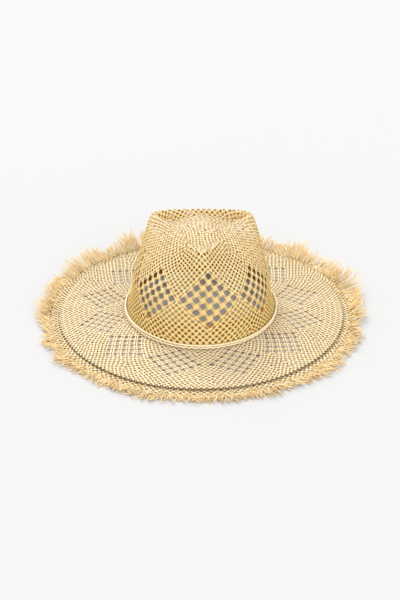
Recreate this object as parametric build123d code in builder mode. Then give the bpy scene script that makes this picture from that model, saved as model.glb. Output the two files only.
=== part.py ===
"""Wide-brimmed straw sun hat: woven crown and brim, frayed edge, hat cord and inner sweatband.

Millimetres. The hat stands on its brim: Z = 0 is the surface it rests on, +Z is up, the front of
the hat faces -Y and the wearer's left ear is towards +X. The origin is under the crown's middle.
"""

import os
from math import atan2, cos, degrees, pi, sin

from build123d import *

os.makedirs("parts", exist_ok=True)

# ---- driving dimensions -------------------------------------------------------------------------
WEAVE = 2.4                  # thickness of the woven straw, two strands lying over each other
CROWN_X, CROWN_Y = 87.0, 104.0   # half-widths of the crown where it meets the brim
HEM_X, HEM_Y = 168.0, 185.7      # half-widths of the brim at its hem
EDGE_X, EDGE_Y = 196.5, 214.0    # half-widths over the frayed ends

HEADING_Z = 1.8              # top of the fringe strip, which lies on the surface below
FOLD_Z = 3.6                 # top of the turned-under layer of the hem
BRIM_EDGE_Z = FOLD_Z + WEAVE # top of the brim at the hem
BRIM_Z = 8.0                 # top of the brim where the crown stands on it
BRIM_LAND = 1.5              # flat ring of brim outside the foot of the crown
FOLD_WIDTH = 12.0            # width of the turned-under layer
HEADING_IN, HEADING_OUT = 8.0, 12.0  # woven part of the fringe strip, inside and outside the hem
FRAY_FRONT_Z, FRAY_BACK_Z = 7.0, 19.0  # height of the loose ends, which curl up more at the back

BAND_TOP = 32.5              # top of the sweatband
BAND_THICK = 0.9
BAND_GAP = 0.3               # between the weave and the sweatband

CORD_R = 1.2                 # radius of the twisted paper cord
CORD_GAP = 0.35              # between the cord and the hat
CORD_X, CORD_Y = 88.7, 106.0 # half-widths of the cord's two turns
BINDING_WALL = 0.35          # thread wound round both turns at the back
BINDING_LENGTH = 8.0
CORD_TOUCH = 0.1             # between the two turns

STITCHES_HEM, STITCHES_BAND = 92, 72
STITCH_IN = 4.0              # hem stitching, in from the hem
BAND_STITCH_IN = 4.3         # sweatband stitching, in from the foot of the crown

TAB_WIDTH, TAB_THICK = 16.0, 0.8   # tab over the joint of the sweatband, at the back
TAB_MARGIN = 1.0             # sweatband left showing above and below the tab
LABEL_WIDTH, LABEL_HEIGHT, LABEL_THICK = 24.0, 14.0, 0.5
CLOTH_GAP = 0.1              # between layers of cloth

# Horizontal sections of the crown, from the brim to the rim. Each is (height in the middle, rise
# per millimetre towards the front, right-hand half outline from the front to the back).
FOOT = [(CROWN_X * sin(pi * i / 6), -CROWN_Y * cos(pi * i / 6)) for i in range(7)]
LOW = [(0, -98), (42.3, -85.3), (73.5, -48), (81.8, 2), (73, 51.7), (42.3, 86), (0, 98.5)]
WALL = [(0, -91), (41, -79), (71, -41), (78.5, 5), (71, 52), (42, 84), (0, 94)]
UPPER = [(0, -79), (25, -57), (48, -29), (64.5, 14), (67, 51), (45, 79), (0, 86)]
SHOULDER = [(0, -69), (20, -45), (34, -15), (48, 23), (62.5, 56), (49, 75), (0, 80)]
RIM = [(0, -64), (16.5, -42), (24.5, -9), (35.5, 23), (56.5, 54), (47.5, 70), (0, 74)]
SIDE = [(BRIM_Z, 0.0, FOOT), (30.0, 0.0, LOW), (55.0, 0.0, WALL), (86.5, 0.02, UPPER),
        (100.5, 0.035, SHOULDER), (104.5, 0.05, RIM)]
LEAN = 0.012                 # sideways shift of the crown for each millimetre of height

# The teardrop dent in the top, which is deepest behind its low dome.
DENT_MOUTH = (105.5, 0.05, RIM, -1.5)    # height, rise, outline, and how far outside that outline
DENT_FLOOR = (95.0, 0.09, RIM, -8.0)
DOME_R, DOME_Y, DOME_TOP = 200.0, 16.0, 98.5


def full_outline(half, grow):
    """Points of a closed outline, mirrored from its right half and grown along its normals."""
    points = [Vector(x, y) for x, y in half]
    points += [Vector(-x, y) for x, y in half[-2:0:-1]]
    grown = []
    for i, point in enumerate(points):
        along = points[(i + 1) % len(points)] - points[i - 1]
        outward = Vector(along.Y, -along.X).normalized()
        grown.append(point + outward * grow)
    return grown


def section(height, rise, half, grow):
    """A closed smooth face on a plane that rises gently towards the front of the hat."""
    lean = LEAN * (height - BRIM_Z)
    plane = Plane(origin=(lean, 0, height), x_dir=(1, 0, 0), z_dir=(0, rise, 1))
    with BuildSketch(plane) as face:
        with BuildLine():
            Spline(*full_outline(half, grow), periodic=True)
        make_face()
    return face.sketch


def crown_mass(inset):
    """Solid block inside the crown's surface, drawn in by inset all over."""
    with BuildPart() as dent:
        for height, rise, half, out in (DENT_FLOOR, DENT_MOUTH):
            add(section(height - inset, rise, half, out + inset))
        loft()
        extrude(dent.faces().sort_by(Axis.Z)[-1], amount=12.0)
        with Locations((0, DOME_Y, DOME_TOP - DOME_R)):
            Sphere(DOME_R - inset, mode=Mode.SUBTRACT)
    sections = SIDE[:-1] if inset else SIDE      # the rim itself is solid straw
    with BuildPart() as mass:
        for height, rise, half in sections:
            lower = inset if height > BRIM_Z else 0
            add(section(height - lower, rise, half, -inset))
        loft()
        add(dent.part, mode=Mode.SUBTRACT)
    return mass.part


# ---- crown and brim, one continuous weave in two nodes ------------------------------------------
def keep(name, part):
    """Label a finished piece and write it out."""
    part.part.label = name
    export_step(part.part, f"parts/{name}.step")


with BuildPart() as crown:
    add(crown_mass(0))
    add(crown_mass(WEAVE), mode=Mode.SUBTRACT)
keep("crown", crown)

with BuildPart() as brim:
    with BuildSketch(Plane.XY.offset(FOLD_Z)):
        Ellipse(HEM_X, HEM_Y)
    extrude(amount=WEAVE)
    for drop, mode in ((0, Mode.ADD), (WEAVE, Mode.SUBTRACT)):
        with BuildSketch(Plane.XY.offset(BRIM_EDGE_Z - drop)):
            Ellipse(HEM_X, HEM_Y)
        with BuildSketch(Plane.XY.offset(BRIM_Z - drop)):
            Ellipse(CROWN_X + BRIM_LAND, CROWN_Y + BRIM_LAND)
        loft(mode=mode)
    with BuildSketch():
        Ellipse(CROWN_X - WEAVE, CROWN_Y - WEAVE)
    extrude(amount=BRIM_Z, mode=Mode.SUBTRACT)
keep("brim", brim)


# ---- hem and frayed edge ------------------------------------------------------------------------
def flat_ring(bottom, top, outside, inside):
    """An oval ring; outside and inside are measured outwards from the hem."""
    with BuildPart() as ring:
        with BuildSketch(Plane.XY.offset(bottom)):
            Ellipse(HEM_X + outside, HEM_Y + outside)
            Ellipse(HEM_X + inside, HEM_Y + inside, mode=Mode.SUBTRACT)
        extrude(amount=top - bottom)
    return ring


def stitches(count, half_x, half_y, z, size):
    """Short straight stitches, evenly spaced in angle round an oval."""
    places = []
    for i in range(count):
        turn = 2 * pi * (i + 0.5) / count
        along = degrees(atan2(half_y * cos(turn), -half_x * sin(turn)))
        places.append(Location((half_x * cos(turn), half_y * sin(turn), z), (0, 0, along)))
    with BuildPart() as row:
        with Locations(*places):
            Box(*size)
    return row


brim_hem = flat_ring(HEADING_Z, FOLD_Z, 0, -FOLD_WIDTH)
keep("brim_hem", brim_hem)

fringe_heading = flat_ring(0, HEADING_Z, HEADING_OUT, -HEADING_IN)
keep("fringe_heading", fringe_heading)

with BuildPart() as frayed_fringe:
    inner_x, inner_y = HEM_X + HEADING_OUT, HEM_Y + HEADING_OUT
    with BuildSketch():
        Ellipse(EDGE_X, EDGE_Y)
    with BuildSketch(Plane.XY.offset(FRAY_BACK_Z)):
        Ellipse(EDGE_X - 5, EDGE_Y - 5)
    loft()
    with BuildSketch():
        Ellipse(inner_x, inner_y)
    with BuildSketch(Plane.XY.offset(FRAY_BACK_Z)):
        Ellipse(inner_x + 6, inner_y + 6)
    loft(mode=Mode.SUBTRACT)
    rise = (FRAY_BACK_Z - FRAY_FRONT_Z) / (2 * EDGE_Y)
    top = Plane(origin=(0, 0, (FRAY_FRONT_Z + FRAY_BACK_Z) / 2), x_dir=(1, 0, 0), z_dir=(0, -rise, 1))
    split(bisect_by=top, keep=Keep.BOTTOM)
keep("frayed_fringe", frayed_fringe)

hem_stitching = stitches(
    STITCHES_HEM, HEM_X - STITCH_IN, HEM_Y - STITCH_IN, BRIM_EDGE_Z + 0.5, (6.0, 0.5, 0.4)
)
keep("hem_stitching", hem_stitching)

# ---- inside of the crown ------------------------------------------------------------------------
def lining(inset, thick):
    """A layer of cloth lying inside the crown, drawn in from its surface by inset."""
    with BuildPart() as layer:
        add(crown_mass(inset))
        add(crown_mass(inset + thick), mode=Mode.SUBTRACT)
        split(bisect_by=Plane.XY.offset(BAND_TOP), keep=Keep.BOTTOM)
    return layer.part


def back_patch(cloth, width, bottom, top):
    """The piece of a cloth layer at the back of the hat, between two heights."""
    with BuildPart() as patch:
        add(cloth)
        with Locations((0, CROWN_Y, (bottom + top) / 2)):
            Box(width, CROWN_Y, top - bottom, mode=Mode.INTERSECT)
    return patch


band_inside = WEAVE + BAND_GAP + BAND_THICK
with BuildPart() as sweatband:
    add(lining(WEAVE + BAND_GAP, BAND_THICK))
    extrude(sweatband.faces().sort_by(Axis.Z)[0], amount=WEAVE)
keep("sweatband", sweatband)

tab_inside = band_inside + CLOTH_GAP + TAB_THICK
tab_cloth = lining(band_inside + CLOTH_GAP, TAB_THICK)
sweatband_tab = back_patch(tab_cloth, TAB_WIDTH, BRIM_Z + TAB_MARGIN, BAND_TOP - TAB_MARGIN)
keep("sweatband_tab", sweatband_tab)

label_cloth = lining(tab_inside + CLOTH_GAP, LABEL_THICK)
label_middle = (BRIM_Z + BAND_TOP) / 2
size_label = back_patch(
    label_cloth, LABEL_WIDTH, label_middle - LABEL_HEIGHT / 2, label_middle + LABEL_HEIGHT / 2
)
keep("size_label", size_label)

sweatband_stitching = stitches(
    STITCHES_BAND, CROWN_X - BAND_STITCH_IN, CROWN_Y - BAND_STITCH_IN, BRIM_Z - 1.0, (4.0, 0.4, 0.5)
)
keep("sweatband_stitching", sweatband_stitching)

# ---- hat cord -----------------------------------------------------------------------------------
def cord_turn(z):
    """One turn of the cord, a round tube along an oval."""
    with BuildPart() as turn:
        with BuildLine():
            path = Edge.make_ellipse(CORD_X, CORD_Y, Plane.XY.offset(z))
            add(path)
        with BuildSketch(Plane(origin=(CORD_X, 0, z), x_dir=(1, 0, 0), z_dir=(0, 1, 0))):
            Circle(CORD_R)
        sweep()
    return turn


hat_cord_lower = cord_turn(BRIM_Z + CORD_GAP + CORD_R)
hat_cord_upper = cord_turn(BRIM_Z + CORD_GAP + 3 * CORD_R + CORD_TOUCH)
keep("hat_cord_lower", hat_cord_lower)
keep("hat_cord_upper", hat_cord_upper)

with BuildPart() as cord_binding:
    middle = BRIM_Z + CORD_GAP + 2 * CORD_R + CORD_TOUCH / 2
    end = Plane(origin=(-BINDING_LENGTH / 2, CORD_Y, middle), x_dir=(0, 0, 1), z_dir=(1, 0, 0))
    with BuildSketch(end):
        SlotCenterToCenter(2 * CORD_R + CORD_TOUCH, 2 * (CORD_R + BINDING_WALL))
    extrude(amount=BINDING_LENGTH)
    add(hat_cord_lower.part, mode=Mode.SUBTRACT)
    add(hat_cord_upper.part, mode=Mode.SUBTRACT)
keep("cord_binding", cord_binding)
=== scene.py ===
"""Straw sun hat, strand by strand: the woven crown and brim, the frayed edge, the cord and the lining.

Lengths are in millimetres until a mesh is made. Azimuths run from the front (-Y) towards +X.
"""

import math

import bpy
import numpy as np
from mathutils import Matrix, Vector


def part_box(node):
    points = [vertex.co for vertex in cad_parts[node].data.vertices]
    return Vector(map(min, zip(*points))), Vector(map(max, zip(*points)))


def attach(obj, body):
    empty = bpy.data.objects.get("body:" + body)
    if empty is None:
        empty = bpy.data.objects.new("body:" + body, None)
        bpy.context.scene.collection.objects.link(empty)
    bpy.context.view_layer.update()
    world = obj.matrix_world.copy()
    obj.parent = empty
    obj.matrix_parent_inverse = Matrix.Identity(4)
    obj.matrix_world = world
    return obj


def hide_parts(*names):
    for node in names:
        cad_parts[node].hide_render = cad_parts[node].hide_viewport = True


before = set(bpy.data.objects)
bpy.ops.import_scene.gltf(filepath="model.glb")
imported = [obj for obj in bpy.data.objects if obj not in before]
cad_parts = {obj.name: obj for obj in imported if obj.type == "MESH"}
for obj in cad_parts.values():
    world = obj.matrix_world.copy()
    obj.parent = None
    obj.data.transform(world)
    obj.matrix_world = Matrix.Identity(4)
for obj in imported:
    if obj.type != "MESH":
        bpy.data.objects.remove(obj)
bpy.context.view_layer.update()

MM = 0.001
TAU = 2 * math.pi


# ---- sizes from the frame ----


def size_of(node):
    """Lowest and highest corner of a CAD node."""
    low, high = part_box(node)
    return np.array(low) / MM, np.array(high) / MM


HEM_X, HEM_Y, BRIM_TOP = size_of("brim")[1]
FOLD_TOP = size_of("brim_hem")[1][2]
HEADING_X = size_of("fringe_heading")[1][0]
LOWER_LOW, LOWER_HIGH = size_of("hat_cord_lower")
UPPER_LOW, UPPER_HIGH = size_of("hat_cord_upper")
WRAP_LOW, WRAP_HIGH = size_of("cord_binding")
BAND_LOW, BAND_HIGH = size_of("sweatband")
TAB_LOW, TAB_HIGH = size_of("sweatband_tab")
LABEL_LOW, LABEL_HIGH = size_of("size_label")

WEAVE = 2.4  # thickness of the CAD's woven shell
HALF = WEAVE / 2

# ---- the shape of the hat ----
# Right half outlines of the crown, front to back, every sixth of a half turn.
CROWN_X, CROWN_Y = 87.0, 104.0
FOOT = [(CROWN_X * math.sin(math.pi * i / 6), -CROWN_Y * math.cos(math.pi * i / 6)) for i in range(7)]
LOW = [(0, -98), (42.3, -85.3), (73.5, -48), (81.8, 2), (73, 51.7), (42.3, 86), (0, 98.5)]
WALL = [(0, -91), (41, -79), (71, -41), (78.5, 5), (71, 52), (42, 84), (0, 94)]
UPPER = [(0, -79), (25, -57), (48, -29), (64.5, 14), (67, 51), (45, 79), (0, 86)]
SHOULDER = [(0, -69), (20, -45), (34, -15), (48, 23), (62.5, 56), (49, 75), (0, 80)]
RIM = [(0, -64), (16.5, -42), (24.5, -9), (35.5, 23), (56.5, 54), (47.5, 70), (0, 74)]

# Control rings from the dent's edge to the foot: outline, growth, height, fall per millimetre of y.
WALL_RINGS = [
    (RIM, -5.5, 100.5 - HALF, 0.06),
    (RIM, -1.5, 106.0 - HALF, 0.05),
    (SHOULDER, -HALF, 100.5, 0.035),
    (UPPER, -HALF, 86.5, 0.02),
    (WALL, -HALF, 55.0, 0.0),
    (LOW, -HALF, 30.0, 0.0),
    (FOOT, -HALF, 12.0, 0.0),
    (FOOT, -HALF, BRIM_TOP, 0.0),
    (FOOT, 0.5, BRIM_TOP - HALF, 0.0),
]
LEAN = 0.012  # sideways shift for each millimetre of height
DOME_SCALES = 0.0, 0.4, 0.75, 1.0  # control rings of the dome in the dent
DOME_RX, DOME_RY = 116.0, 312.0  # radii of its swell across and along
DOME_Y, DOME_TOP = 16.0, 99.5
DENT_Z, DENT_RISE, DENT_IN = 95.0, 0.125, 8.0  # its least height, rise to the front, inset from the rim
CENTRE_Y = 6.0  # where the weave starts, on the dome

FILLET = 3.0  # from the wall to the flat of the brim
SAG_IN, SAG = 40.0, 2.6  # the brim dips, by this much, so far in from the hem
HEM_WAVES = (9, 0.2, 1.0), (4, 0.2, 2.0)  # number round the hat, height, phase
FOLD_R = 0.85  # how tightly the brim turns under
FOLD_IN = 1.1  # the turn's outermost point, in from the CAD hem
FOLD_WIDTH = 12.0  # how far the brim runs back under itself
FOLD_STEPS = 8
HEM_MID = FOLD_TOP - 0.4  # middle of the turn, between the two layers
HEADING_IN = 8.0  # how far the fringe strip reaches in under the hem
HEADING_OUT = HEADING_X - HEM_X  # and out from it
HEADING_MID = 0.95  # height of its middle

ROUND = 720  # points round the hat in the table of its shape
CROWN_ROWS, BRIM_ROWS, FOLD_ROWS, HEADING_ROWS = 401, 241, 121, 61  # rows of each part's table


def unit(vectors):
    """The same directions, one long."""
    return vectors / np.linalg.norm(vectors, axis=-1, keepdims=True)


def smooth(a, b, c, d, f):
    """A share f of the way from b to c on a smooth curve, with the neighbours a and d."""
    return 0.5 * (2 * b + (c - a) * f + (2 * a - 5 * b + 4 * c - d) * f**2 + (3 * b - a - 3 * c + d) * f**3)


def grown(points, by):
    """A closed flat outline, moved outwards along its normals."""
    along = np.roll(points, -1, 0) - np.roll(points, 1, 0)
    outward = np.stack([along[:, 1], -along[:, 0]], 1)
    return points + by * outward / np.linalg.norm(outward, axis=1, keepdims=True)


def outline(half, grow):
    """Twelve points round the hat, mirrored from the right half and grown."""
    half = np.array(half, float)
    return grown(np.vstack([half, half[-2:0:-1] * [-1, 1]]), grow)


def around(stations, count):
    """Smooth closed curve through evenly spaced stations."""
    n = len(stations)
    u = np.arange(count) * n / count
    i = np.floor(u).astype(int)
    return smooth(*(stations[(i + k) % n] for k in (-1, 0, 1, 2)), (u - i)[:, None])


def leaning(flat, z):
    """Lifts a flat outline to its heights, and leans it sideways with height."""
    return np.stack([flat[:, 0] + LEAN * (z - BRIM_TOP), flat[:, 1], z], 1)


def dome(scale):
    """A ring of the low dome in the crown's dent; scale 1 is the foot of the dent's wall."""
    flat = outline(RIM, -DENT_IN) * scale + [0, CENTRE_Y * (1 - scale)]
    swell = DOME_TOP - flat[:, 0] ** 2 / (2 * DOME_RX) - (flat[:, 1] - DOME_Y) ** 2 / (2 * DOME_RY)
    return leaning(flat, np.maximum(swell, DENT_Z - DENT_RISE * flat[:, 1]) - HALF)


def rounded(rings, times=4):
    """Cuts the corners between control rings until they are a smooth surface."""
    for _ in range(times):
        a, b = rings[:-1], rings[1:]
        cut = np.stack([0.75 * a + 0.25 * b, 0.25 * a + 0.75 * b], 1).reshape(-1, *rings.shape[1:])
        rings = np.concatenate([rings[:1], cut, rings[-1:]])
    return rings


def evenly(rings, count):
    """The same surface with its rows at even distances along each meridian."""
    step = np.linalg.norm(np.diff(rings, axis=0), axis=2)
    reach = np.concatenate([np.zeros((1, step.shape[1])), np.cumsum(step, 0)])
    out = np.empty((count, rings.shape[1], 3))
    for j in range(rings.shape[1]):
        want = np.linspace(0, reach[-1, j], count)
        for k in range(3):
            out[:, j, k] = np.interp(want, reach[:, j], rings[:, j, k])
    return out


def crown_rings():
    """The crown from the middle of the dome down to the foot of the wall."""
    rings = [dome(scale) for scale in DOME_SCALES]
    for half, grow, height, fall in WALL_RINGS:
        flat = outline(half, grow)
        rings.append(leaning(flat, height - fall * flat[:, 1]))
    return rounded(np.stack([around(ring, ROUND) for ring in rings]))


def oval(out_x, out_y, z):
    """A ring of points round an oval, starting at the front and going towards +X."""
    turn = np.arange(ROUND) * TAU / ROUND
    return np.stack([out_x * np.sin(turn), -out_y * np.cos(turn), np.broadcast_to(z, turn.shape)], 1)


def hem_oval(inward, z):
    """A ring so far in from the CAD hem."""
    return oval(HEM_X - inward, HEM_Y - inward, z)


def ripple(waves, height, phase):
    """A gentle rise and fall round the hat."""
    return height * np.sin(waves * np.arange(ROUND) * TAU / ROUND + phase)


class Surface:
    """A table of points: rows from the middle outwards, columns round the hat."""

    def __init__(self, parts):
        """parts are tables that follow each other; each is one unit of s long."""
        self.parts = [len(part) - 1 for part in parts]
        self.rows = np.concatenate([parts[0]] + [part[1:] for part in parts[1:]])

    def at(self, q):
        """Points for disc coordinates q, whose length is s and whose direction is the azimuth."""
        s = np.hypot(q[:, 0], q[:, 1])
        row, done = np.zeros_like(s), 0
        for k, length in enumerate(self.parts):
            row = np.where(s >= k, done + (s - k) * length, row)
            done += length
        row = np.clip(row, 0, done - 0.001)
        turn = (np.arctan2(q[:, 0], -q[:, 1]) % TAU) * ROUND / TAU
        i, j = np.floor(row).astype(int), np.floor(turn).astype(int) % ROUND
        u, v = (row - i)[:, None], (turn - np.floor(turn))[:, None]
        k = (j + 1) % ROUND
        near = self.rows[i, j] * (1 - v) + self.rows[i, k] * v
        far = self.rows[i + 1, j] * (1 - v) + self.rows[i + 1, k] * v
        return near * (1 - u) + far * u

    def slopes(self, q, step=0.004):
        """Two directions along the surface and its outward normal."""
        dx, dy = np.array([step, 0]), np.array([0, step])
        tx = (self.at(q + dx) - self.at(q - dx)) / (2 * step)
        ty = (self.at(q + dy) - self.at(q - dy)) / (2 * step)
        return tx, ty, unit(np.cross(tx, ty))


def hat_surface():
    """The crown, the brim and the turned-under hem."""
    crown = evenly(crown_rings(), CROWN_ROWS)
    wave = sum(ripple(*waves) for waves in HEM_WAVES)
    brim = [
        crown[-1],
        oval(CROWN_X + FILLET, CROWN_Y + FILLET, BRIM_TOP - HALF),
        hem_oval(SAG_IN, BRIM_TOP - HALF - SAG + 0.5 * wave),
        oval(HEM_X - FOLD_R - FOLD_IN, HEM_Y - FOLD_R - FOLD_IN, HEM_MID + FOLD_R + wave),
    ]
    fold = []
    for k in range(FOLD_STEPS + 1):
        bend = math.pi * k / FOLD_STEPS
        inward = FOLD_IN + FOLD_R * (1 - math.sin(bend))
        fold.append(hem_oval(inward, HEM_MID + FOLD_R * math.cos(bend) + wave))
    fold.append(hem_oval(FOLD_WIDTH, HEM_MID - FOLD_R + 0.2))
    return Surface([crown, evenly(np.stack(brim), BRIM_ROWS), evenly(np.stack(fold), FOLD_ROWS)])


def heading_surface():
    """The flat strip that the fringe grows from; its s runs from 1 to 2."""
    rows = [hem_oval(HEADING_IN, HEADING_MID), hem_oval(-HEADING_OUT, HEADING_MID)]
    return Surface([np.stack([rows[0]] * 2), evenly(np.stack(rows), HEADING_ROWS)])


HAT = hat_surface()
HEADING = heading_surface()

# ---- the weave: which holes there are, and which strands run between them ----
# The holes of a plain weave fall in two sets, like the squares of a chessboard. One set makes a
# mesh's corners and the other its faces, and each edge of that mesh is a crossing of two strands.
BLOCK = 5  # half the side of the square block in the middle of the crown
FOOT_ROW, HEM_ROW, LAST_ROW = 26, 39, 41
COLUMNS = 80  # holes round the crown, but for rows with their own count
COUNTS = {6: 42, 7: 48, 8: 54, 9: 60, 10: 66, 11: 70, 12: 74, 13: 77, 24: 84, 25: 90, 26: 96}
PHASES = 0.35, 0.5, 0.65  # where the extra holes of a fuller row may fall
CROWN_DIAMONDS, SECTORS = 8, 12  # openwork diamonds round the crown and round the brim
CROWN_CLUSTER_ROW, BRIM_CLUSTER_ROW = 18, 31  # the rows through their middles
CLUSTER_REACH = 4  # a diamond has 5 by 5 large holes
CROWN_TURN, BRIM_TURN = math.radians(5.4), math.radians(2.0)
SKIPPED = 1  # columns that the crown's weave is turned past the brim's
GROWTH_PAIRS = (27, 28), (32, 33), (37, 38)  # each sector gains two columns at one row of each pair,
GROWTH_ROW = 36  # and at this row
OVAL_EVEN, OVAL_LESS = 0.08, 0.02  # evens out columns on the oval; less so towards the hem
FRONT_STRETCH = 0.035  # how much wider the crown's holes stand at front and back
STRETCH_ROWS = 8, 13, FOOT_ROW - 3, FOOT_ROW  # where that stretch begins, is full, and ends
BUNCH = 0.30, 0.18  # how far crossings crowd away from large holes, crown and brim
HEADING_COUNT, HEADING_LAST = 14 * SECTORS, 3  # holes round the fringe strip, and its last row


def disc(s, turn):
    """Disc coordinates; columns stand wider apart at front and back, so they are even on the oval."""
    turn += (OVAL_EVEN - OVAL_LESS * max(s - 1, 0)) * math.sin(2 * turn)
    return s * math.sin(turn), -s * math.cos(turn)


def is_large(column, row_offset):
    """Whether a hole is one of an openwork diamond's large ones."""
    return abs(column) + abs(row_offset) <= CLUSTER_REACH and (column + row_offset) % 2 == 0


class Holes:
    """The mesh of holes, built outwards row by row."""

    def __init__(self):
        self.q, self.row, self.large, self.faces, self.inner = [], [], [], [], []

    def add(self, point, row, large=False):
        self.q.append(point)
        self.row.append(row)
        self.large.append(large)
        return len(self.q) - 1

    def block(self):
        """The square block in the middle, a corner to the front, its corners pulled in."""
        ids, span, b = {}, range(-BLOCK, BLOCK + 1), BLOCK
        for i in span:
            for j in span:
                ring = max(abs(i), abs(j))
                pull = (ring / math.hypot(i, j)) ** 0.5 / FOOT_ROW if ring else 1
                ids[i, j] = self.add(((i + j) * pull / 2**0.5, (j - i) * pull / 2**0.5), ring)
        for i in span[:-1]:
            for j in span[:-1]:
                self.faces.append([ids[i, j], ids[i + 1, j], ids[i + 1, j + 1], ids[i, j + 1]])
        rim = [(b, j) for j in range(-b, b)] + [(i, b) for i in range(b, -b, -1)]
        rim += [(-b, j) for j in range(b, -b, -1)] + [(i, -b) for i in range(-b, b)]
        self.inner = [ids[p] for p in rim]

    def strip(self, outer, parents):
        """Faces between a row and the next; two neighbours with one parent leave a triangle."""
        for k, hole in enumerate(outer):
            n = (k + 1) % len(outer)
            face = [self.inner[parents[k]], hole, outer[n]]
            if parents[k] != parents[n]:
                face.append(self.inner[parents[n]])
            self.faces.append(face)
        self.inner = outer

    def arrays(self):
        return np.array(self.q), np.array(self.row), np.array(self.large), self.faces


def crown_holes(holes, rng):
    """Rows from the block to the crown's foot, turning gently to meet the brim's columns."""
    spacing = COLUMNS // CROWN_DIAMONDS
    still = CROWN_CLUSTER_ROW - CLUSTER_REACH - 1
    for row in range(BLOCK + 1, FOOT_ROW + 1):
        count, before = COUNTS.get(row, COLUMNS), len(holes.inner)
        ease = max((row - still) / (FOOT_ROW - still), 0) ** 2
        turned = CROWN_TURN + (BRIM_TURN + SKIPPED * TAU / COUNTS[FOOT_ROW] - CROWN_TURN) * ease
        outer = []
        for k in range(count):
            column = (k + spacing // 2) % spacing - spacing // 2
            large = count == COLUMNS and is_large(column, row - CROWN_CLUSTER_ROW)
            outer.append(holes.add(disc(row / FOOT_ROW, turned + k * TAU / count), row, large))
        phase = 0.5 if count == before else rng.choice(PHASES)
        holes.strip(outer, [math.floor(k * before / count + phase) % before for k in range(count)])


def brim_holes(holes, rng):
    """Rows from the crown's foot over the brim and back under it, in growing sectors."""
    holes.inner = holes.inner[-SKIPPED:] + holes.inner[:-SKIPPED]
    counts = [COUNTS[FOOT_ROW] // SECTORS] * SECTORS
    growth = [{*(int(rng.choice(pair)) for pair in GROWTH_PAIRS), GROWTH_ROW} for _ in range(SECTORS)]
    for row in range(FOOT_ROW + 1, LAST_ROW + 1):
        s = np.interp(row, [FOOT_ROW, HEM_ROW, LAST_ROW], [1, 2, 3])
        outer, parents, first = [], [], 0
        for k in range(SECTORS):
            n = counts[k]
            counts[k] = n + 2 * (row in growth[k])
            own = [0, 1, 1, *range(2, n), n - 1] if row in growth[k] else range(n)
            parents += [first + p for p in own]
            first += n
            for i in range(counts[k]):
                large = is_large(i - counts[k] // 2, row - BRIM_CLUSTER_ROW)
                turn = BRIM_TURN + TAU * (k + i / counts[k]) / SECTORS
                outer.append(holes.add(disc(s, turn), row, large))
        holes.strip(outer, parents)


def hat_holes(rng):
    """Holes of the crown, the brim and the turned-under hem."""
    holes = Holes()
    holes.block()
    crown_holes(holes, rng)
    brim_holes(holes, rng)
    return holes.arrays()


def heading_holes():
    """Holes of the strip that the fringe grows from."""
    holes, count = Holes(), HEADING_COUNT
    for row in range(HEADING_LAST + 1):
        s = 1 + row / HEADING_LAST
        outer = [holes.add(disc(s, k * TAU / count), row) for k in range(count)]
        if row:
            holes.strip(outer, list(range(count)))
        else:
            holes.inner = outer
    return holes.arrays()


def relax(surface, q, fixed, edges, rest, times, pull=0.12, longest=0.02):
    """Evens out the holes along the surface, towards the same distance between neighbours."""
    a, b = edges[:, 0], edges[:, 1]
    degree = np.bincount(edges.ravel(), minlength=len(q))[:, None]
    for _ in range(times):
        p = surface.at(q)
        gap = p[b] - p[a]
        length = np.linalg.norm(gap, axis=1, keepdims=True)
        force = gap * (pull + (1 - pull) * (1 - rest[:, None] / np.maximum(length, 0.1)))
        total = np.zeros_like(p)
        np.add.at(total, a, force)
        np.add.at(total, b, -force)
        move = total / degree
        tx, ty, _ = surface.slopes(q)
        xx, xy, yy = (tx * tx).sum(1), (tx * ty).sum(1), (ty * ty).sum(1)
        mx, my = (move * tx).sum(1), (move * ty).sum(1)
        det = xx * yy - xy * xy
        step = np.stack([(yy * mx - xy * my) / det, (xx * my - xy * mx) / det], 1)
        size = np.linalg.norm(step, axis=1, keepdims=True)
        step *= np.minimum(1, longest / np.maximum(size, 1e-9))
        step[fixed] = 0
        q = q + 0.5 * step
    return q


class Weave:
    """Crossings and strands of a hole mesh on a surface."""

    def __init__(self, surface, holes, bunch):
        q, row, large, faces = holes
        self.surface = surface
        edge_id, ends, corners = {}, [], []
        for face in faces:
            for k, v in enumerate(face):
                corner = []
                for pair in ((face[k - 1], v), (v, face[(k + 1) % len(face)])):
                    key = (min(pair), max(pair))
                    if key not in edge_id:
                        edge_id[key] = len(ends)
                        ends.append(key)
                    corner.append(edge_id[key])
                corners.append(corner)
        a, b = np.array(ends).T
        self.corners = corners  # a strand goes under at the first crossing, over at the second
        middle = surface.at((q[a] + q[b]) / 2)
        pairs = np.array(corners)
        apart = np.linalg.norm(middle[pairs[:, 0]] - middle[pairs[:, 1]], axis=1)
        self.gap = np.bincount(pairs.ravel(), np.repeat(apart, 2)) / np.bincount(pairs.ravel())
        share = np.full(len(ends), 0.5)  # of the way from hole a to hole b
        bunch = np.broadcast_to(bunch, len(row))
        share[large[a]] += bunch[a][large[a]]
        share[large[b]] -= bunch[b][large[b]]
        self.q = q[a] * (1 - share[:, None]) + q[b] * share[:, None]
        self.open = (large[a] | large[b]).astype(float)
        self.row = (row[a] + row[b]) / 2

    def chains(self):
        """Strands, each a list of (crossing, over or under) from end to end."""
        meets = {}
        for c, (low, high) in enumerate(self.corners):
            meets.setdefault((low, -1), []).append(c)
            meets.setdefault((high, 1), []).append(c)
        used = [False] * len(self.corners)
        made = []
        for key in [k for k, m in meets.items() if len(m) == 1] + list(meets):
            chain, side = [key], key
            while True:
                ahead = [c for c in meets[side] if not used[c]]
                if not ahead or (len(chain) > 1 and len(ahead) == 2):
                    break
                used[ahead[0]] = True
                low, high = self.corners[ahead[0]]
                side = (high, 1) if side[1] < 0 else (low, -1)
                chain.append(side)
            if len(chain) > 1:
                made.append(chain)
        return made


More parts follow.
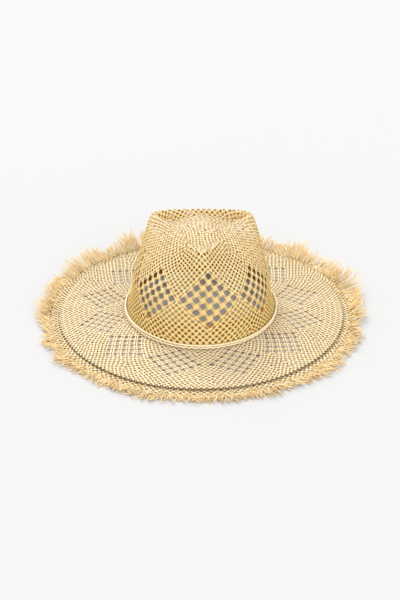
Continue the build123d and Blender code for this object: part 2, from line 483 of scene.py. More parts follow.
def hat_weave():
    """The weave of crown, brim and hem, its holes evened out; the crown's become alike in size."""
    q, row, large, faces = hat_holes(np.random.default_rng(11))
    pairs = np.array([(f[k - 1], f[k]) for f in faces for k in range(len(f))])
    edges = np.unique(np.sort(pairs, axis=1), axis=0)
    p = HAT.at(q)
    length = np.linalg.norm(p[edges[:, 0]] - p[edges[:, 1]], axis=1)
    table = HAT.rows[: HAT.parts[0] + 1]
    a, b, c = table[:-1], table[1:], np.roll(table, -1, 1)[:-1]
    area = np.linalg.norm(np.cross(b - a, c - a), axis=2).sum()
    cells = sum(1 for f in faces if max(row[f]) <= FOOT_ROW)
    rest = np.where((row[edges] <= FOOT_ROW).all(1), math.sqrt(area / cells), length)
    fixed = np.isin(row, (FOOT_ROW, HEM_ROW, LAST_ROW))
    q = relax(HAT, q, fixed, edges, rest, times=400)
    turn = np.arctan2(q[:, 0], -q[:, 1])
    turn += FRONT_STRETCH * np.interp(row, STRETCH_ROWS, [0, 1, 1, 0]) * np.sin(2 * turn)
    reach = np.hypot(q[:, 0], q[:, 1])
    q = np.stack([reach * np.sin(turn), -reach * np.cos(turn)], 1)
    return Weave(HAT, (q, row, large, faces), np.where(row <= FOOT_ROW, *BUNCH))


# ---- strands as meshes ----


def quad_object(name, verts, quads, caps=()):
    """A mesh object of quads and end caps, filled from arrays."""
    flat = quads.astype(np.int32).ravel()
    starts = np.arange(0, flat.size, 4, dtype=np.int32)
    if len(caps):
        starts = np.concatenate([starts, flat.size + np.arange(len(caps), dtype=np.int32) * len(caps[0])])
        flat = np.concatenate([flat, np.asarray(caps, np.int32).ravel()])
    mesh = bpy.data.meshes.new(name)
    mesh.vertices.add(len(verts))
    mesh.vertices.foreach_set("co", (verts * MM).astype(np.float32).ravel())
    mesh.loops.add(flat.size)
    mesh.loops.foreach_set("vertex_index", flat)
    mesh.polygons.add(len(starts))
    mesh.polygons.foreach_set("loop_start", starts)
    mesh.update(calc_edges=True)
    mesh.validate()
    mesh.polygons.foreach_set("use_smooth", np.ones(len(mesh.polygons), bool))
    made = bpy.data.objects.new(name, mesh)
    bpy.context.scene.collection.objects.link(made)
    return made


def store(made, name, values):
    """A number at each point of a mesh, for its material."""
    attribute = made.data.attributes.new(name, "FLOAT", "POINT")
    attribute.data.foreach_set("value", np.asarray(values, np.float32))


def travelled(points):
    """Distance along a line at each of its points."""
    return np.concatenate([[0], np.cumsum(np.linalg.norm(np.diff(points, axis=0), axis=1))])


def directions(points, closed):
    """The way a line runs at each of its points."""
    if closed:
        return unit(np.roll(points, -1, 0) - np.roll(points, 1, 0))
    return unit(np.gradient(points, axis=0))


def tubes(name, runs, closed=False, sides=6):
    """One mesh of many tubes.

    A run is (points, up vectors, half widths, half thicknesses, tone), and for a woven strand also
    (steepness, painted shade on its edges, painted shade along its middle).
    """
    turn = np.arange(sides)
    after = (turn + 1) % sides
    ring = np.stack([np.cos(TAU * turn / sides), np.sin(TAU * turn / sides)], 1)
    verts, quads, caps, tones, lengths, steeps, painted_shades, base = [], [], [], [], [], [], [], 0
    for points, ups, wide, thick, tone, *more in runs:
        n = len(points)
        ahead = directions(points, closed)
        up = unit(ups - ahead * (ups * ahead).sum(1, keepdims=True))
        across = np.cross(up, ahead)
        body = (points[:, None] + across[:, None] * (wide[:, None, None] * ring[None, :, :1])
                + up[:, None] * (thick[:, None, None] * ring[None, :, 1:]))
        verts.append(body.reshape(-1, 3))
        i = np.arange(n if closed else n - 1)[:, None]
        here, there = base + i * sides, base + ((i + 1) % n) * sides
        quads.append(np.stack([here + turn, here + after, there + after, there + turn], 2).reshape(-1, 4))
        if not closed:
            end = base + (n - 1) * sides
            caps += [base + turn[::-1], end + turn]
        lengths.append(np.repeat(travelled(points), sides))
        tones.append(np.full(n * sides, tone))
        steep, edge, top = more if more else np.zeros((3, n))
        steeps.append(np.repeat(steep, sides))
        # painted shade: the edge value at the tube's two sides, the top value along its middle
        painted_shades.append((top[:, None] + (edge - top)[:, None] * ring[None, :, 0] ** 4).ravel())
        base += n * sides
    made = quad_object(name, np.concatenate(verts), np.concatenate(quads), caps)
    store(made, "tone", np.concatenate(tones))
    store(made, "along", np.concatenate(lengths) * MM)
    store(made, "around", np.tile(turn / sides, base // sides))
    store(made, "steep", np.concatenate(steeps))
    # the painted shade on each point, for the straw material
    store(made, "dark", np.concatenate(painted_shades))
    return made


PLAIN_WIDTH = 0.56, 0.58, 0.58, 0.62  # of a strand, as a share of its spacing, at these rows:
WIDTH_ROWS = 9, 13, FOOT_ROW - 1, FOOT_ROW + 2
OPEN_WIDTH = 0.26, 0.34  # beside a large hole, crown and brim
KNOT_WIDTH = 0.60  # at a large hole's corners
WIDTH_RANGE = 0.9, 1.1  # from strand to strand
THICK, HEADING_THICK = 0.52, 0.6
LIFT = 0.36  # how far a strand rises and dips at a crossing
STEPS = 4  # points from one crossing to the next
UNDER_EDGE, UNDER_TOP = 0.5, 0.36  # painted shade where a strand lies below another, standing in for its shadow


def strand_runs(weave, rng, low_row, high_row, thick=THICK):
    """The parts of all strands between two rows, as runs for tubes()."""
    runs = []
    for chain in weave.chains():
        tone = rng.random()
        ids = np.array([c for c, _ in chain])
        side = np.array([s for _, s in chain], float)
        inside = (weave.row[ids] >= low_row) & (weave.row[ids] <= high_row)
        edges = np.flatnonzero(np.diff(np.concatenate([[0], inside.astype(int), [0]])))
        for start, end in edges.reshape(-1, 2):
            if end - start > 1:
                runs.append(one_run(weave, ids[start:end], side[start:end], tone, rng, thick))
    return runs


def filled(values, t):
    """Values at crossings, and evenly between them."""
    return np.append((values[:-1, None] * (1 - t) + values[1:, None] * t).ravel(), values[-1])


def one_run(weave, ids, side, tone, rng, thick):
    """A stretch of one strand, going over and under."""
    t = np.arange(STEPS) / STEPS
    q = weave.q[ids]
    bow = np.concatenate([2 * q[:1] - q[1:2], q, 2 * q[-1:] - q[-2:-1]])
    q = smooth(*(bow[k:len(q) - 1 + k, None] for k in range(4)), t[:, None])
    q = np.concatenate([q.reshape(-1, 2), weave.q[ids[-1:]]])
    wave = np.append((side[:-1, None] * np.cos(math.pi * t)).ravel(), side[-1])
    loose, gap = filled(weave.open[ids], t), filled(weave.gap[ids], t)
    _, _, normal = weave.surface.slopes(q)
    points = weave.surface.at(q) + normal * (LIFT * wave)[:, None]
    row = np.append(np.repeat(weave.row[ids[:-1]], STEPS), weave.row[ids[-1]])
    plain = np.interp(row, WIDTH_ROWS, PLAIN_WIDTH)
    spare = np.where(row < FOOT_ROW, *OPEN_WIDTH)
    share = plain + (spare + (KNOT_WIDTH - spare) * wave**2 - plain) * loose
    wide = share * gap / 2 * rng.uniform(*WIDTH_RANGE)
    under = 0.5 - 0.5 * wave  # 1 where another strand crosses over it
    beside = np.clip(1.4 - 2 * np.abs(wave), 0, 1) * (1 - 0.6 * loose)  # painted shade beside the holes, 1 halfway to the next
    steep = 1 - np.abs(normal[:, 2])
    # painted shade: darker beside the holes and where another strand lies over this one
    edge, top = beside + UNDER_EDGE * under, UNDER_TOP * under
    return points, normal, wide, np.full(len(points), thick / 2), tone, steep, edge, top


# ---- materials ----


class Nodes:
    """A material being built from nodes."""

    def __init__(self, name):
        self.material = bpy.data.materials.new(name)
        self.material.use_nodes = True
        self.tree = self.material.node_tree
        self.shader = self.tree.nodes["Principled BSDF"]
        self.output = self.tree.nodes["Material Output"]

    def make(self, kind, **inputs):
        node = self.tree.nodes.new(kind)
        for name, value in inputs.items():
            self.put(node.inputs[name.replace("_", " ")], value)
        return node

    def put(self, socket, value):
        if isinstance(value, bpy.types.NodeSocket):
            self.tree.links.new(value, socket)
        else:
            socket.default_value = value

    def set(self, **inputs):
        """Puts values or links into the shader."""
        for name, value in inputs.items():
            self.put(self.shader.inputs[name.replace("_", " ")], value)

    def attribute(self, name):
        node = self.tree.nodes.new("ShaderNodeAttribute")
        node.attribute_name = name
        return node.outputs["Fac"]

    def math(self, kind, a, b=0.0, clamp=False):
        node = self.tree.nodes.new("ShaderNodeMath")
        node.operation, node.use_clamp = kind, clamp
        self.put(node.inputs[0], a)
        self.put(node.inputs[1], b)
        return node.outputs[0]

    def times(self, a, b, clamp=False):
        return self.math("MULTIPLY", a, b, clamp)

    def plus(self, a, b, clamp=False):
        return self.math("ADD", a, b, clamp)

    def mix(self, share, a, b, blend="MIX"):
        node = self.tree.nodes.new("ShaderNodeMix")
        node.data_type, node.blend_type = "RGBA", blend
        self.put(node.inputs["Factor"], share)
        self.put(node.inputs[6], a)
        self.put(node.inputs[7], b)
        return node.outputs[2]

    def vector(self, x, y, z):
        node = self.tree.nodes.new("ShaderNodeCombineXYZ")
        for socket, value in zip(node.inputs, (x, y, z)):
            self.put(socket, value)
        return node.outputs[0]

    def noise(self, where, scale, detail=2.0):
        node = self.make("ShaderNodeTexNoise", Vector=where, Scale=scale, Detail=detail)
        return node.outputs["Fac"]

    def place(self):
        return self.tree.nodes.new("ShaderNodeTexCoord").outputs["Object"]

    def bump(self, height, strength, distance):
        node = self.make("ShaderNodeBump", Strength=strength, Distance=distance, Height=height)
        self.set(Normal=node.outputs[0])

    def see_through(self, share, colour):
        """Lets some light come through from behind."""
        glow = self.make("ShaderNodeBsdfTranslucent", Color=colour)
        mixer = self.make("ShaderNodeMixShader", Fac=share)
        self.put(mixer.inputs[1], self.shader.outputs[0])
        self.put(mixer.inputs[2], glow.outputs[0])
        self.put(self.output.inputs["Surface"], mixer.outputs[0])


# The first colour is a painted warm shade for steep walls; the second is the painted shade on strand edges
# and under-crossings; the third tints the light that comes through the straw.
PAINTED_WALL_GOLD, PAINTED_SHADE, GLOW = (1.0, 0.755, 0.21), (0.30, 0.16, 0.04), (1.0, 0.90, 0.66)
PAINTED_EDGE_SHADE = 0.9  # how strongly the painted shade on a strand's edges shows
STRAND_TONE, PATCH_TONE = 0.75, 0.5  # how much of the colour varies by strand and by place
GROOVES_ALONG, GROOVES_AROUND = 90.0, 26.0


def straw(name, pale, deep, through, painted_steep_colour=PAINTED_WALL_GOLD, painted_steep_share=0.85, glow=GLOW):
    """Split and dried straw: a satin skin with fine grooves along it, each strand its own shade.

    Steep places take a painted colour for how light falls on them: a warm golden painted shade on the
    crown's walls, a dark painted shadow at the hem's turned edge. Strand edges beside the holes and where a
    strand passes under another get painted shade. Light that comes through takes the glow's colour.
    """
    m = Nodes(name)
    tone, along, turn = m.attribute("tone"), m.attribute("along"), m.attribute("around")
    patch = m.noise(m.place(), 45.0)
    shade = m.plus(m.times(tone, STRAND_TONE), m.times(patch, PATCH_TONE))
    shade = m.math("SUBTRACT", shade, 0.2, clamp=True)
    colour = m.mix(shade, (*pale, 1), (*deep, 1))
    # painted shade: steep faces take a painted colour for the light that falls on them
    colour = m.mix(m.times(m.attribute("steep"), painted_steep_share, clamp=True), colour, (*painted_steep_colour, 1))
    line = m.vector(m.times(along, GROOVES_ALONG), m.times(turn, GROOVES_AROUND), m.times(tone, 37.0))
    groove = m.noise(line, 1.0, 3.0)
    dark = m.times(m.math("SUBTRACT", groove, 0.5, clamp=True), 0.9, clamp=True)
    colour = m.mix(dark, colour, tuple(0.7 * c for c in deep) + (1,))
    # painted shade: strand edges beside the holes and under-crossings turn dark brown
    colour = m.mix(m.times(m.attribute("dark"), PAINTED_EDGE_SHADE, clamp=True), colour, (*PAINTED_SHADE, 1))
    m.set(Base_Color=colour, Roughness=m.plus(m.times(groove, 0.3), 0.38), Specular_IOR_Level=0.4)
    m.bump(groove, 0.5, 0.0003)
    m.see_through(through, m.mix(1.0, colour, (*glow, 1), "MULTIPLY"))
    return m.material


def woven_cloth(name, colour, dark, threads):
    """Closely woven cloth, with ribs one way and fine threads the other; threads is for each metre."""
    m = Nodes(name)
    rib = m.math("SINE", m.times(m.attribute("along"), TAU * threads))
    fine = m.math("SINE", m.times(m.attribute("up"), TAU * threads * 2.2))
    worn = m.noise(m.place(), 120.0, 3.0)
    height = m.plus(m.times(rib, 0.5), m.times(fine, 0.3))
    share = m.plus(m.times(height, 0.35), m.times(worn, 0.7), clamp=True)
    m.set(Base_Color=m.mix(share, (*dark, 1), (*colour, 1)), Roughness=m.plus(m.times(worn, 0.2), 0.7),
          Sheen_Weight=0.25, Sheen_Roughness=0.4)
    m.bump(height, 0.6, 0.0002)
    return m.material


def twisted(name, colour, dark, lay):
    """Paper or cotton twisted into a thread: fine lines wind round it, lay of them in each metre."""
    m = Nodes(name)
    wind = m.plus(m.times(m.attribute("along"), lay), m.times(m.attribute("around"), 5.0))
    line = m.math("ABSOLUTE", m.math("SINE", m.times(wind, TAU / 2)))
    patch = m.noise(m.place(), 160.0, 3.0)
    share = m.plus(m.times(line, 0.55), m.times(patch, 0.6), clamp=True)
    m.set(Base_Color=m.mix(share, (*dark, 1), (*colour, 1)), Roughness=m.plus(m.times(patch, 0.25), 0.55))
    m.bump(line, 0.5, 0.0002)
    return m.material


BODY_STRAW = straw("body_straw", (0.93, 0.81, 0.54), (0.83, 0.68, 0.39), 0.35)
HEM_STRAW = straw("hem_straw", (0.98, 0.88, 0.64), (0.94, 0.78, 0.46), 0.05,
                  painted_steep_colour=(0.03, 0.014, 0.004), painted_steep_share=1.7)  # painted shadow under the turned edge: dark where it turns under
FRINGE_STRAW = straw("fringe_straw", (0.98, 0.87, 0.58), (0.93, 0.76, 0.40), 0.4, glow=(1.0, 0.88, 0.60))
PAPER = twisted("paper_cord", (0.97, 0.86, 0.63), (0.66, 0.49, 0.28), 500.0)
THREAD = twisted("binding_thread", (0.80, 0.66, 0.42), (0.55, 0.40, 0.20), 1500.0)
COTTON = twisted("cotton_thread", (0.84, 0.72, 0.50), (0.66, 0.52, 0.30), 1800.0)
RIBBON = woven_cloth("grosgrain", (0.44, 0.22, 0.085), (0.26, 0.11, 0.035), 650.0)
LABEL_CLOTH = woven_cloth("label_cloth", (0.80, 0.76, 0.66), (0.62, 0.57, 0.46), 2500.0)


def add_piece(piece, material, slot, body, *nodes):
    piece.data.materials.append(material)
    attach(piece, body)
    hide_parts(*nodes)


def add_halves(name, runs, sides, material, slot, node):
    """A piece of very many tubes, as two meshes that take turns."""
    for half, letter in enumerate("ab"):
        made = tubes(f"{name}_{letter}", runs[half::2], sides=sides)
        add_piece(made, material, slot, "hat", node)


# ---- the woven pieces ----
weave = hat_weave()
rng = np.random.default_rng(5)
crown_runs = strand_runs(weave, rng, 0, FOOT_ROW + 0.6)
brim_runs = strand_runs(weave, rng, FOOT_ROW + 0.4, HEM_ROW + 0.1)
hem_runs = strand_runs(weave, rng, HEM_ROW - 0.1, LAST_ROW)
add_halves("crown_strands", crown_runs, 6, BODY_STRAW, "straw_weave", "crown")
add_halves("brim_strands", brim_runs, 6, BODY_STRAW, "straw_weave", "brim")
add_piece(tubes("hem_fold_strands", hem_runs), HEM_STRAW, "straw_hem", "hat", "brim_hem")

heading = Weave(HEADING, heading_holes(), bunch=0.0)
heading_runs = strand_runs(heading, rng, 0, HEADING_LAST, HEADING_THICK)
add_piece(tubes("heading_strands", heading_runs), FRINGE_STRAW, "straw_fringe", "hat", "fringe_heading")

# ---- the frayed ends ----
TUFTS = 2 * HEADING_COUNT  # strand ends round the strip
FIBRES = 6  # fibres that each strand frays into
FIBRE_POINTS = 8
FIBRE_HALF, FRIZZ_HALF = 0.16, 0.15  # half their thickness
FRIZZ = 700  # short hairs from the strip itself
LONGER = (50, 22, 3.5), (118, 16, 6.0), (180, 45, 9.0), (-115, 25, 3.0)  # azimuth, spread, millimetres
RAISED_FROM, RAISED_FAST = 0.42, 14  # where it begins to stand up, and how suddenly


def smooth_noise(rng, count, spread):
    """Random numbers round a ring, alike for neighbours within the spread."""
    raw = rng.normal(size=count)
    kernel = np.exp(-0.5 * (np.arange(-3 * spread, 3 * spread + 1) / spread) ** 2)
    wrapped = np.concatenate([raw[-3 * spread:], raw, raw[:3 * spread]])
    out = np.convolve(wrapped, kernel, "valid")
    return out / out.std()


def longer(turn):
    """How much the frayed ends are longer than usual at an azimuth."""
    away = [(math.degrees(turn) - middle + 180) % 360 - 180 for middle, _, _ in LONGER]
    return sum(more * math.exp(-((a / spread) ** 2)) for a, (_, spread, more) in zip(away, LONGER))


def strip_point(phi, inward, z):
    """A point so far in from the strip's outer edge, and the direction straight out from there."""
    out_x, out_y = HEM_X + HEADING_OUT - inward, HEM_Y + HEADING_OUT - inward
    x, y = math.sin(phi), -math.cos(phi)
    return np.array([out_x * x, out_y * y, z]), math.atan2(y * out_x, x * out_y)


def hair(start, way, rise, step):
    """Points of a hair that sets off from start; way and rise are its directions on each step."""
    move = np.stack([np.cos(rise) * np.cos(way), np.cos(rise) * np.sin(way), np.sin(rise)], 1) * step
    return start + np.concatenate([np.zeros((1, 3)), np.cumsum(move[:-1], 0)])


def fringe_runs(rng):
    """Loose ends: each strand of the strip frays into fibres that fan out and curl."""
    tuft_lean, tuft_long, tuft_lift = (smooth_noise(rng, TUFTS, k) for k in (2, 2, 3))
    t = np.linspace(0, 1, FIBRE_POINTS)
    runs = []
    for k in range(TUFTS):
        turn = TAU * (k + 0.5) / TUFTS
        back = 0.5 - 0.5 * math.cos(turn)  # 0 at the front, 1 at the back
        raised = 1 / (1 + math.exp(-(back - RAISED_FROM) * RAISED_FAST))
        for n in range(FIBRES):
            phi = turn + rng.normal() * 0.006
            start, straight = strip_point(phi, rng.uniform(1.0, 5.0), rng.uniform(0.8, 1.9))
            side = 1 if (k + n) % 2 else -1
            turned = straight + side * rng.uniform(0.1, 0.6) + 0.22 * tuft_lean[k] + rng.normal() * 0.12
            swing = -side * rng.uniform(0.0, 0.9) + rng.normal() * 0.6
            length = (rng.uniform(11, 20) + longer(turn)) * (1 + 0.15 * tuft_long[k])
            lift = 0.12 + 0.10 * rng.normal() + raised * (0.42 + 0.25 * back**6 + 0.16 * tuft_lift[k])
            curl = rng.normal() * 0.45 - 0.15 + raised * 0.35
            way = turned + swing * t + 0.2 * np.sin(TAU * (t * rng.uniform(0.5, 1.2) + rng.random()))
            points = hair(start, way, lift + curl * t**1.5, length / (FIBRE_POINTS - 1))
            points[:, 2] = np.maximum(points[:, 2], 0.35 + 0.5 * rng.random() * (1 - t))
            tilt = rng.normal() * 0.5
            level = np.full(FIBRE_POINTS, math.cos(tilt))
            up = np.stack([-np.sin(way) * math.sin(tilt), np.cos(way) * math.sin(tilt), level], 1)
            wide = rng.uniform(0.45, 1.0) * (1 - 0.7 * t**2)
            runs.append((points, up, wide, np.full(FIBRE_POINTS, FIBRE_HALF), rng.random()))
    return runs


def frizz_runs(rng):
    """Short curly hairs that have worked loose from the strip itself."""
    t = np.linspace(0, 1, FIBRE_POINTS)
    up = np.tile([0, 0, 1.0], (FIBRE_POINTS, 1))
    runs = []
    for _ in range(FRIZZ):
        phi, inward = rng.uniform(0, TAU), rng.uniform(0, 1) ** 0.8 * (HEADING_OUT - 2.0)
        start, straight = strip_point(phi, inward, 1.4)
        turned = straight + rng.normal() * 0.9
        way = turned + rng.normal() * 1.6 * t + 0.3 * np.sin(TAU * t)
        rise = 0.5 + 0.2 * rng.normal() - (1.1 + 0.4 * rng.normal()) * t
        points = hair(start, way, rise, rng.uniform(5, 10) / (FIBRE_POINTS - 1))
        points[:, 2] = np.maximum(points[:, 2], 0.4)
        wide = rng.uniform(0.3, 0.7) * (1 - 0.6 * t)
        runs.append((points, up, wide, np.full(FIBRE_POINTS, FRIZZ_HALF), rng.random()))
    return runs


fringe = fringe_runs(np.random.default_rng(23)) + frizz_runs(np.random.default_rng(31))
add_halves("fringe_fibres", fringe, 4, FRINGE_STRAW, "straw_fringe", "frayed_fringe")

# ---- hat cord ----
CORD_R = (LOWER_HIGH[2] - LOWER_LOW[2]) / 2
CORD_X, CORD_Y = LOWER_HIGH[0] - CORD_R, LOWER_HIGH[1] - CORD_R
LOWER_MID, UPPER_MID = (LOWER_LOW[2] + LOWER_HIGH[2]) / 2, (UPPER_LOW[2] + UPPER_HIGH[2]) / 2
CORD_SHARE = 0.79  # of its CAD radius, so the two turns stand a little apart
PLY_R = 0.50 * CORD_R
PLY_POINTS = 1400
TWIST = 5.5  # length of one turn of the twist
PART_AT, PART_SPREAD, PART_GAP = math.radians(318), 0.42, 0.9  # where the turns lie apart
BINDING_R, BINDING_TURNS, BINDING_POINTS = 0.19, 19, 28  # thread, windings, points in each


def plies(middle, part):
    """Two strands twisted round each other along one turn of the cord."""
    turn = np.arange(PLY_POINTS) * TAU / PLY_POINTS
    line = np.stack([CORD_X * np.sin(turn), -CORD_Y * np.cos(turn), np.full(PLY_POINTS, middle)], 1)
    apart = np.exp(-((((turn - PART_AT + math.pi) % TAU) - math.pi) / PART_SPREAD) ** 2)
    line[:, 2] += part * PART_GAP * apart
    ahead = directions(line, closed=True)
    out = unit(np.cross(ahead, [0, 0, 1.0]))
    up = np.cross(out, ahead)
    step = np.linalg.norm(np.roll(line, -1, 0) - line, axis=1)
    turns = round(step.sum() / TWIST)
    wind = np.concatenate([[0], np.cumsum(step)[:-1]]) / step.sum() * turns * TAU
    radius = np.full(PLY_POINTS, PLY_R)
    runs = []
    for half in (0, math.pi):
        away = unit(out * np.cos(wind + half)[:, None] + up * np.sin(wind + half)[:, None])
        points = line + away * (CORD_SHARE * CORD_R - PLY_R)
        runs.append((points, away, radius, radius, 0.3 + 0.3 * half))
    return runs


def whipping():
    """Thread wound closely round both turns of the cord."""
    wind = np.arange(BINDING_TURNS * BINDING_POINTS + 1) * TAU / BINDING_POINTS
    reach = CORD_R + BINDING_R
    x = np.linspace(WRAP_LOW[0] + BINDING_R, WRAP_HIGH[0] - BINDING_R, len(wind))
    y = CORD_Y * np.sqrt(1 - (x / CORD_X) ** 2) + reach * np.cos(wind)
    z = np.where(np.sin(wind) > 0, UPPER_MID, LOWER_MID) + reach * np.sin(wind)
    up = np.stack([np.zeros_like(x), np.cos(wind), np.sin(wind)], 1)
    radius = np.full(len(x), BINDING_R)
    return [(np.stack([x, y, z], 1), up, radius, radius, 0.5)]


for node, middle, part in (("hat_cord_lower", LOWER_MID, 0), ("hat_cord_upper", UPPER_MID, 1)):
    cord = tubes(node + "_plies", plies(middle, part), closed=True)
    add_piece(cord, PAPER, "paper_cord", "hat_cord", node)
add_piece(tubes("cord_whipping", whipping()), THREAD, "binding_thread", "hat_cord", "cord_binding")

# ---- stitches ----
STITCH_POINTS = 9
HEM_STITCH = dict(count=92, length=6.4, sink=1.3, radius=0.22)
HEM_STITCH_IN, HEM_STITCH_UP = 4.0, 1.05  # from the hem, and above the fold
BAND_STITCH = dict(count=72, length=4.2, sink=0.0, radius=0.2)
BAND_STITCH_IN, BAND_STITCH_DOWN = 4.4, 1.0  # from the crown's foot


def stitch_runs(out_x, out_y, z, count, length, sink, radius):
    """Running stitches round an oval: each rises out of the straw and goes down again."""
    runs = []
    for k in range(count):
        turn = TAU * (k + 0.5) / count
        t = np.linspace(-0.5, 0.5, STITCH_POINTS)
        phi = turn + t * (length / math.hypot(out_x * math.cos(turn), out_y * math.sin(turn)))
        points = np.stack([out_x * np.sin(phi), -out_y * np.cos(phi), z - sink * (2 * np.abs(t)) ** 4], 1)
        up = np.tile([0, 0, 1.0], (STITCH_POINTS, 1))
        wide, thick = np.full(STITCH_POINTS, radius), np.full(STITCH_POINTS, 0.8 * radius)
        runs.append((points, up, wide, thick, (k * 0.37) % 1))
    return runs


z = HEM_MID + FOLD_R + HEM_STITCH_UP
hem_stitches = stitch_runs(HEM_X - HEM_STITCH_IN, HEM_Y - HEM_STITCH_IN, z, **HEM_STITCH)
add_piece(tubes("hem_stitches", hem_stitches), COTTON, "straw_thread", "hat", "hem_stitching")
z = BRIM_TOP - BAND_STITCH_DOWN
band_stitches = stitch_runs(CROWN_X - BAND_STITCH_IN, CROWN_Y - BAND_STITCH_IN, z, **BAND_STITCH)
add_piece(tubes("sweatband_stitches", band_stitches), COTTON, "band_thread", "hat", "sweatband_stitching")

# ---- the cloth inside ----
BAND_INSET, TAB_INSET, LABEL_INSET = 3.15, 4.1, 4.85  # of a cloth's middle from the crown's face
BAND_THICK, TAB_THICK, LABEL_THICK = 0.86, 0.76, 0.46
RIB = 0.07  # height of the ribbon's ribs
BAND_COLUMNS, TAB_COLUMNS, LABEL_COLUMNS = 1920, 33, 41


def crown_ring(z, inset):
    """Points round the inside of the crown at a height, inset from its outer face."""
    table = HAT.rows[: HAT.parts[0] + 1]
    lower = table[len(table) // 2:][::-1]  # from the foot upwards
    ring = np.empty((ROUND, 2))
    for j in range(ROUND):
        for k in range(2):
            ring[j, k] = np.interp(max(z, BRIM_TOP), lower[:, j, 2], lower[:, j, k])
    return grown(ring, HALF - inset)


def heights_of(low, high, between):
    """Rows of a strip of cloth, close together at its two edges."""
    edge = np.array([0, 0.3, 1.0])
    return [*(low + edge), *np.linspace(low + 2, high - 2, between), *(high - edge[::-1])]


def taper(count):
    """Shares of the full thickness, less in the first and last of so many rows."""
    from_end = np.minimum(np.arange(count), np.arange(count)[::-1])
    return np.minimum(1, 0.45 + 0.35 * from_end)


def shell_quads(rows, cols, closed):
    """Faces round a layer with an outer and then an inner grid of points."""
    grid = np.arange(rows * cols).reshape(rows, cols)
    side = rows * cols
    loop = [grid[k] for k in range(rows)] + [grid[k] + side for k in range(rows - 1, -1, -1)]
    loop = np.stack(loop + [loop[0]])
    if closed:
        loop = np.concatenate([loop, loop[:, :1]], 1)
    quads = np.stack([loop[:-1, :-1], loop[:-1, 1:], loop[1:, 1:], loop[1:, :-1]], 2).reshape(-1, 4)
    if closed:
        return quads
    left = np.stack([grid[:-1, 0], grid[1:, 0], grid[1:, 0] + side, grid[:-1, 0] + side], 1)
    right = np.stack([grid[:-1, -1] + side, grid[1:, -1] + side, grid[1:, -1], grid[:-1, -1]], 1)
    return np.concatenate([quads, left, right])


def cloth(name, turns, heights, inset, thick, rib=0.0, closed=False):
    """A layer of cloth against the inside of the crown, with thickness and rounded edges."""
    at = (turns % TAU) * ROUND / TAU
    i = np.floor(at).astype(int) % ROUND
    f = (at - np.floor(at))[:, None]
    layers = []
    for z in heights:
        ring = crown_ring(z, inset)
        row = ring[i] * (1 - f) + ring[(i + 1) % ROUND] * f
        layers.append(np.concatenate([row, np.full((len(row), 1), z)], 1))
    flat = np.stack(layers)
    along = np.gradient(flat, axis=1)
    out = unit(np.stack([along[..., 1], -along[..., 0], np.zeros(along.shape[:2])], 2))
    body = thick / 2 * taper(len(heights))[:, None, None]
    if not closed:
        body = np.minimum(body, thick / 2 * taper(len(turns))[None, :, None])
    ribbed = rib * np.cos(np.arange(len(turns)) * TAU / 4)[None, :, None]
    push = out * (body - rib + ribbed)
    rows, cols = flat.shape[:2]
    verts = np.concatenate([(flat + push).reshape(-1, 3), (flat - push).reshape(-1, 3)])
    made = quad_object(name, verts, shell_quads(rows, cols, closed))
    store(made, "along", np.tile(np.tile(travelled(flat[0]) * MM, rows), 2))
    store(made, "up", np.tile(np.repeat(np.array(heights) * MM, cols), 2))
    return made


def back_turns(half, count):
    """Azimuths of a small cloth at the middle of the back."""
    return math.pi + np.linspace(-half, half, count)


band_turns = np.arange(BAND_COLUMNS) * TAU / BAND_COLUMNS
band_heights = heights_of(BAND_LOW[2], BAND_HIGH[2], 5)
band = cloth("sweatband_ribbon", band_turns, band_heights, BAND_INSET, BAND_THICK, RIB, closed=True)
add_piece(band, RIBBON, "sweatband_ribbon", "hat", "sweatband")

tab_half = math.asin(TAB_HIGH[0] / (CROWN_X - 4.0))
tab_heights = heights_of(TAB_LOW[2], TAB_HIGH[2], 9)
tab = cloth("sweatband_tab_ribbon", back_turns(tab_half, TAB_COLUMNS), tab_heights, TAB_INSET, TAB_THICK)
add_piece(tab, RIBBON, "sweatband_ribbon", "hat", "sweatband_tab")

label_turns = back_turns(tab_half * LABEL_HIGH[0] / TAB_HIGH[0], LABEL_COLUMNS)
label_heights = heights_of(LABEL_LOW[2], LABEL_HIGH[2], 9)
label = cloth("size_label_cloth", label_turns, label_heights, LABEL_INSET, LABEL_THICK)
add_piece(label, LABEL_CLOTH, "label_cloth", "hat", "size_label")

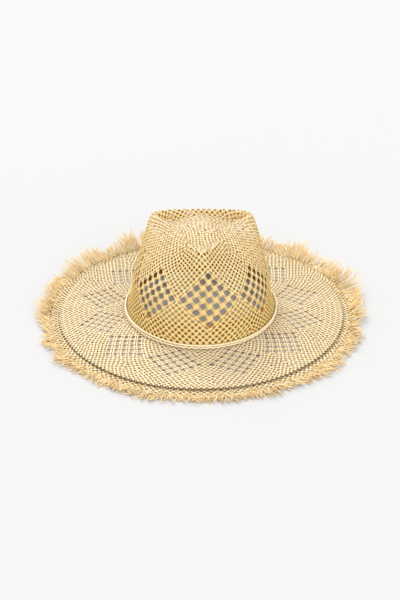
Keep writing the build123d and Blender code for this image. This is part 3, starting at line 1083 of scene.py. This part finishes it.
# ---- camera, light and floor, in metres ----
ELEVATION, DISTANCE = math.radians(26.08), 1.541
LOOK_AT = Vector((0, 0, 0.0392))
SENSOR, LENS = 36, 79.2  # millimetres
SHIFT_X, SHIFT_Y = -0.0015, -0.0302  # places the hat in the photograph's frame
FLOOR_HALF = 30
FLOOR_PALE, FLOOR_DEEP = (0.44, 0.44, 0.44, 1), (0.425, 0.425, 0.425, 1)
LIT = Vector((0, 0, 0.05))  # what the lights point at
LIGHTS = [  # name, place, spread in degrees, strength
    ("back_light", (-0.9, 2.3, 2.1), 24, 2.3),
    ("top_light", (-0.5, 0.5, 2.6), 40, 1.0),
    ("front_light", (0.5, -2.2, 1.5), 70, 1.85),
]


def link(name, data):
    made = bpy.data.objects.new(name, data)
    bpy.context.scene.collection.objects.link(made)
    return made


def point_at(thing, way):
    thing.rotation_mode = "QUATERNION"
    thing.rotation_quaternion = way.to_track_quat("-Z", "Y")


def camera():
    """A camera at the photograph's viewing angle."""
    data = bpy.data.cameras.new("camera")
    cam = link("camera", data)
    back = Vector((0, -math.cos(ELEVATION), math.sin(ELEVATION)))
    cam.location = LOOK_AT + back * DISTANCE
    point_at(cam, -back)
    data.sensor_width, data.lens = SENSOR, LENS
    data.shift_x, data.shift_y = SHIFT_X, SHIFT_Y
    bpy.context.scene.camera = cam


def floor():
    mesh = bpy.data.meshes.new("floor")
    r = FLOOR_HALF
    mesh.from_pydata([(-r, -r, 0), (r, -r, 0), (r, r, 0), (-r, r, 0)], [], [(0, 1, 2, 3)])
    m = Nodes("white_paper")
    grain = m.noise(m.place(), 900.0)
    m.set(Base_Color=m.mix(grain, FLOOR_DEEP, FLOOR_PALE), Roughness=0.95)
    mesh.materials.append(m.material)
    link("floor", mesh)


def light(name, where, spread, strength):
    """A large soft light, so far off that it lights the floor evenly."""
    data = bpy.data.lights.new(name, "SUN")
    data.angle = math.radians(spread)
    data.energy = strength
    lamp = link(name, data)
    lamp.location = where
    point_at(lamp, LIT - Vector(where))


camera()
floor()
for lamp in LIGHTS:
    light(*lamp)
world = bpy.data.worlds.new("studio")
bpy.context.scene.world = world
world.use_nodes = True
background = world.node_tree.nodes["Background"]
background.inputs["Color"].default_value = (1, 1, 1, 1)
background.inputs["Strength"].default_value = 1.0
bpy.context.scene.view_settings.view_transform = "Standard"
